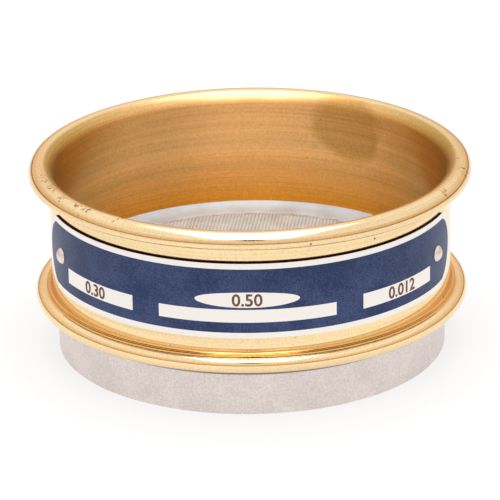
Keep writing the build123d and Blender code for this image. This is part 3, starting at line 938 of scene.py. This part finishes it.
# Stamping ink, soaked up unevenly: brown and matt, and paler where it lies thin.
INK = "#6B4630"
INK_THIN = "#86634B"
BLOT_SIZE = 0.8333
THIN_RANGE = (0.4, 0.65)
stamping_ink, tree, place = new_material("stamping_ink")
blots = add_node(tree, "TexNoise", {"Vector": place, "Scale": noise_scale(BLOT_SIZE), "Detail": 2.0})
shade = add_node(tree, "MapRange", [blots, *THIN_RANGE])
tint = add_node(tree, "Mix", {0: shade, 6: linear(INK), 7: linear(INK_THIN)}, data_type="RGBA")
surface = add_node(tree, "BsdfPrincipled", {"Base Color": tint, "Roughness": 0.55, "Specular IOR Level": 0.3})
add_node(tree, "OutputMaterial", [surface])
for index, (text, angle, foot_z) in enumerate(NUMBERS):
    number = stamp_number("number_" + str(index + 1), text, angle, foot_z)
    number.data.materials.append(stamping_ink)

# --- Rivets -------------------------------------------------------------------------------------
# Two round-head aluminium rivets through plate and wall, set with a domed snap. Their tails are
# dressed flush with the bore.
RIVET_HEAD_R = 1.6
RIVET_HEAD_TALL = 0.85
RIVET_SHANK_R = 0.8
RIVET_TAIL_EDGE = 0.05
RIVET_HEAD_EDGE = 0.04
RIVET_SUNK = 0.05
RIVET_CLEAR = 0.01
DOME_STEPS = 12
RIVET_STEPS = 48
RIVET_WELD = 1e-5
RIVET_SHARP = 40


def make_rivet(name, side):
    """One rivet on its own axis, from the flush tail to the crown of the head."""
    seat = PLATE_OUT_R - RIVET_SUNK
    crown = PLATE_OUT_R + RIVET_HEAD_TALL
    cap_r = (RIVET_HEAD_R**2 + RIVET_HEAD_TALL**2) / (2 * RIVET_HEAD_TALL)
    head_angle = asin(RIVET_HEAD_R / cap_r)
    tail = BORE_R - PLATE_STAND_OFF * cos(radians(RIVET_ANGLE)) - RIVET_CLEAR
    profile = [(0.0, tail), (RIVET_SHANK_R - RIVET_TAIL_EDGE, tail)]
    profile += [(RIVET_SHANK_R, tail + RIVET_TAIL_EDGE), (RIVET_SHANK_R, seat)]
    profile += [(RIVET_HEAD_R - RIVET_HEAD_EDGE, seat), (RIVET_HEAD_R, seat + RIVET_HEAD_EDGE)]
    for step in range(DOME_STEPS + 1):
        angle = head_angle * (1 - step / DOME_STEPS)
        profile.append((cap_r * sin(angle), crown - cap_r + cap_r * cos(angle)))
    mesh = new_mesh(name, *turn_outline(profile, RIVET_STEPS, closed=False))
    work = bmesh.new()
    work.from_mesh(mesh)
    bmesh.ops.remove_doubles(work, verts=work.verts, dist=RIVET_WELD)
    bmesh.ops.dissolve_degenerate(work, edges=work.edges, dist=RIVET_WELD)
    out = Vector(on_plate(side * RIVET_ANGLE, 0, 1)) - Vector(on_plate(side * RIVET_ANGLE, 0, 0))
    out.normalize()
    base = Vector(on_plate(side * RIVET_ANGLE, PLATE_Z, 0))
    up = Vector((0, 0, 1))
    across = up.cross(out)
    for vertex in work.verts:
        vertex.co = base + (across * vertex.co.x + up * vertex.co.y + out * vertex.co.z) * MM
    work.to_mesh(mesh)
    work.free()
    return finish_mesh(name, mesh, RIVET_SHARP)


# Soft aluminium, hammered in the snap: pale, with small dents that break up its shine.
RIVET = "#F1EAE6"
DENT_SIZE = 1.111
RIVET_ROUGH = (0.4, 0.55)
rivet_metal, tree, place = new_material("set_aluminium")
dents = add_node(tree, "TexNoise", {"Vector": place, "Scale": noise_scale(DENT_SIZE), "Detail": 2.0})
rough = add_node(tree, "MapRange", [dents, *NOISE_RANGE, *RIVET_ROUGH])
bump = add_node(tree, "Bump", {"Height": dents, "Strength": 0.35, "Distance": 0.05 * MM})
finish = {"Base Color": linear(RIVET), "Metallic": 1.0, "Roughness": rough, "Normal": bump}
surface = add_node(tree, "BsdfPrincipled", finish)
add_node(tree, "OutputMaterial", [surface])
for rivet_name, node_name, side in (("left_rivet", "rivet_left", -1), ("right_rivet", "rivet_right", 1)):
    rivet = make_rivet(rivet_name, side)
    rivet.data.materials.append(rivet_metal)
    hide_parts(node_name)

# --- Table and light ----------------------------------------------------------------------------
# A white table in a white tent, with one wide soft panel overhead that reaches from behind the
# camera to beyond the sieve. Polished brass shows the panel as its white bands, and the open side
# of the tent, low down and in a slot over the camera, as its brown and dark ones.
TABLE_HALF = 2000.0
TABLE = "#FCFCFC"
TABLE_GLOW = 0.8
TABLE_GLOW_R = (37.0, 38.0)
TABLE_FALL_X = (50.0, 160.0)
TABLE_FALL = 0.06
PANEL_HEIGHT = 600.0
PANEL_Y = (-480.0, 320.0)
PANEL_X = 200.0
PANEL_WATTS = 3.45


def seen_directly(tree, path):
    """1 for a ray from the camera or off something shiny or clear, 0 for one that only lights."""
    seen = path.outputs["Is Camera Ray"]
    for kind in ("Is Glossy Ray", "Is Transmission Ray"):
        seen = add_node(tree, "Math", [seen, path.outputs[kind]], operation="MAXIMUM")
    return seen


# Matt white board. Round the sieve it glows, as the tent's white does, so that it has no horizon,
# and in reflections it darkens a little to the left and right.
corners = ((-1, -1), (1, -1), (1, 1), (-1, 1))
table_corners = [(x * TABLE_HALF * MM, y * TABLE_HALF * MM, 0) for x, y in corners]
table_mesh = new_mesh("table", table_corners, [(0, 1, 2, 3)])
table = bpy.data.objects.new("table", table_mesh)
bpy.context.scene.collection.objects.link(table)

white_table, tree, place = new_material("white_table")
path = add_node(tree, "LightPath")
from_axis = add_node(tree, "VectorMath", [place], operation="LENGTH")
glow_range = (TABLE_GLOW_R[0] * MM, TABLE_GLOW_R[1] * MM)
open_table = add_node(tree, "MapRange", [from_axis, *glow_range, 0.0, TABLE_GLOW])
share = add_node(tree, "Math", [seen_directly(tree, path), open_table], operation="MULTIPLY")
paint = add_node(tree, "BsdfDiffuse", {"Color": linear(TABLE)})
across = add_node(tree, "SeparateXYZ", [place]).outputs[0]
off_middle = add_node(tree, "Math", [across], operation="ABSOLUTE")
fall_range = (TABLE_FALL_X[0] * MM, TABLE_FALL_X[1] * MM)
fall = add_node(tree, "MapRange", [off_middle, *fall_range, 0.0, TABLE_FALL])
fall = add_node(tree, "Math", [fall, path.outputs["Is Glossy Ray"]], operation="MULTIPLY")
strength = add_node(tree, "Math", [1.0, fall], operation="SUBTRACT")
glow = add_node(tree, "Emission", {"Color": (1, 1, 1, 1), "Strength": strength})
surface = add_node(tree, "MixShader", [share, paint, glow])
add_node(tree, "OutputMaterial", [surface])
table_mesh.materials.append(white_table)

panel_data = bpy.data.lights.new("overhead_panel", "AREA")
panel_data.shape = "RECTANGLE"
panel_data.size = 2 * PANEL_X * MM
panel_data.size_y = (PANEL_Y[1] - PANEL_Y[0]) * MM
panel_data.energy = PANEL_WATTS
panel = bpy.data.objects.new("overhead_panel", panel_data)
panel.location = (0, (PANEL_Y[0] + PANEL_Y[1]) / 2 * MM, PANEL_HEIGHT * MM)
bpy.context.scene.collection.objects.link(panel)

# The tent. It lights evenly from all sides. Shiny things show it white overhead, cream lower down
# and brown near the horizon, with a dark slot high in front, just under the panel. Heights here are
# shares of a direction of length 1, as is the slot's reach.
TENT_LIGHT = 0.5
TENT_SHINE = "#FFFFFF"
ROOM_SHINE = "#EBD0B2"
ROOM_TOP = (0.25, 0.6)
HORIZON_SHADE = "#A87E54"
HORIZON_TOP = (0.06, 0.14)
SLOT_UP = 43.0
SLOT_REACH = 0.11
SLOT_EDGE = (0.8, 1.1)
SLOT_SHADE = 0.05
tent = bpy.data.worlds.new("tent")
tent.use_nodes = True
tree = tent.node_tree
tree.nodes.clear()
path = add_node(tree, "LightPath")
strength = add_node(tree, "MapRange", [seen_directly(tree, path), 0.0, 1.0, TENT_LIGHT, 1.0])
heading = add_node(tree, "TexCoord").outputs["Generated"]
up = add_node(tree, "SeparateXYZ", [heading]).outputs[2]
high = add_node(tree, "MapRange", [up, *ROOM_TOP])
shine = add_node(tree, "Mix", {0: high, 6: linear(ROOM_SHINE), 7: linear(TENT_SHINE)}, data_type="RGBA")
over_horizon = add_node(tree, "MapRange", [up, *HORIZON_TOP])
shine = add_node(tree, "Mix", {0: over_horizon, 6: linear(HORIZON_SHADE), 7: shine}, data_type="RGBA")
slot_heading = (0.0, -cos(radians(SLOT_UP)), sin(radians(SLOT_UP)))
from_slot = add_node(tree, "VectorMath", [heading, slot_heading], operation="SUBTRACT")
slot_shares = (1 / SLOT_REACH, 1.0, 1 / SLOT_REACH)
from_slot = add_node(tree, "VectorMath", [from_slot, slot_shares], operation="MULTIPLY")
from_slot = add_node(tree, "VectorMath", [from_slot], operation="LENGTH")
slot_shade = add_node(tree, "MapRange", [from_slot, *SLOT_EDGE, SLOT_SHADE, 1.0])
shine = add_node(tree, "VectorMath", {0: shine, "Scale": slot_shade}, operation="SCALE")
glossy = path.outputs["Is Glossy Ray"]
colour = add_node(tree, "Mix", {0: glossy, 6: (1, 1, 1, 1), 7: shine}, data_type="RGBA")
sky = add_node(tree, "Background", {"Color": colour, "Strength": strength})
add_node(tree, "OutputWorld", [sky])
bpy.context.scene.world = tent
bpy.context.scene.view_settings.view_transform = "Standard"
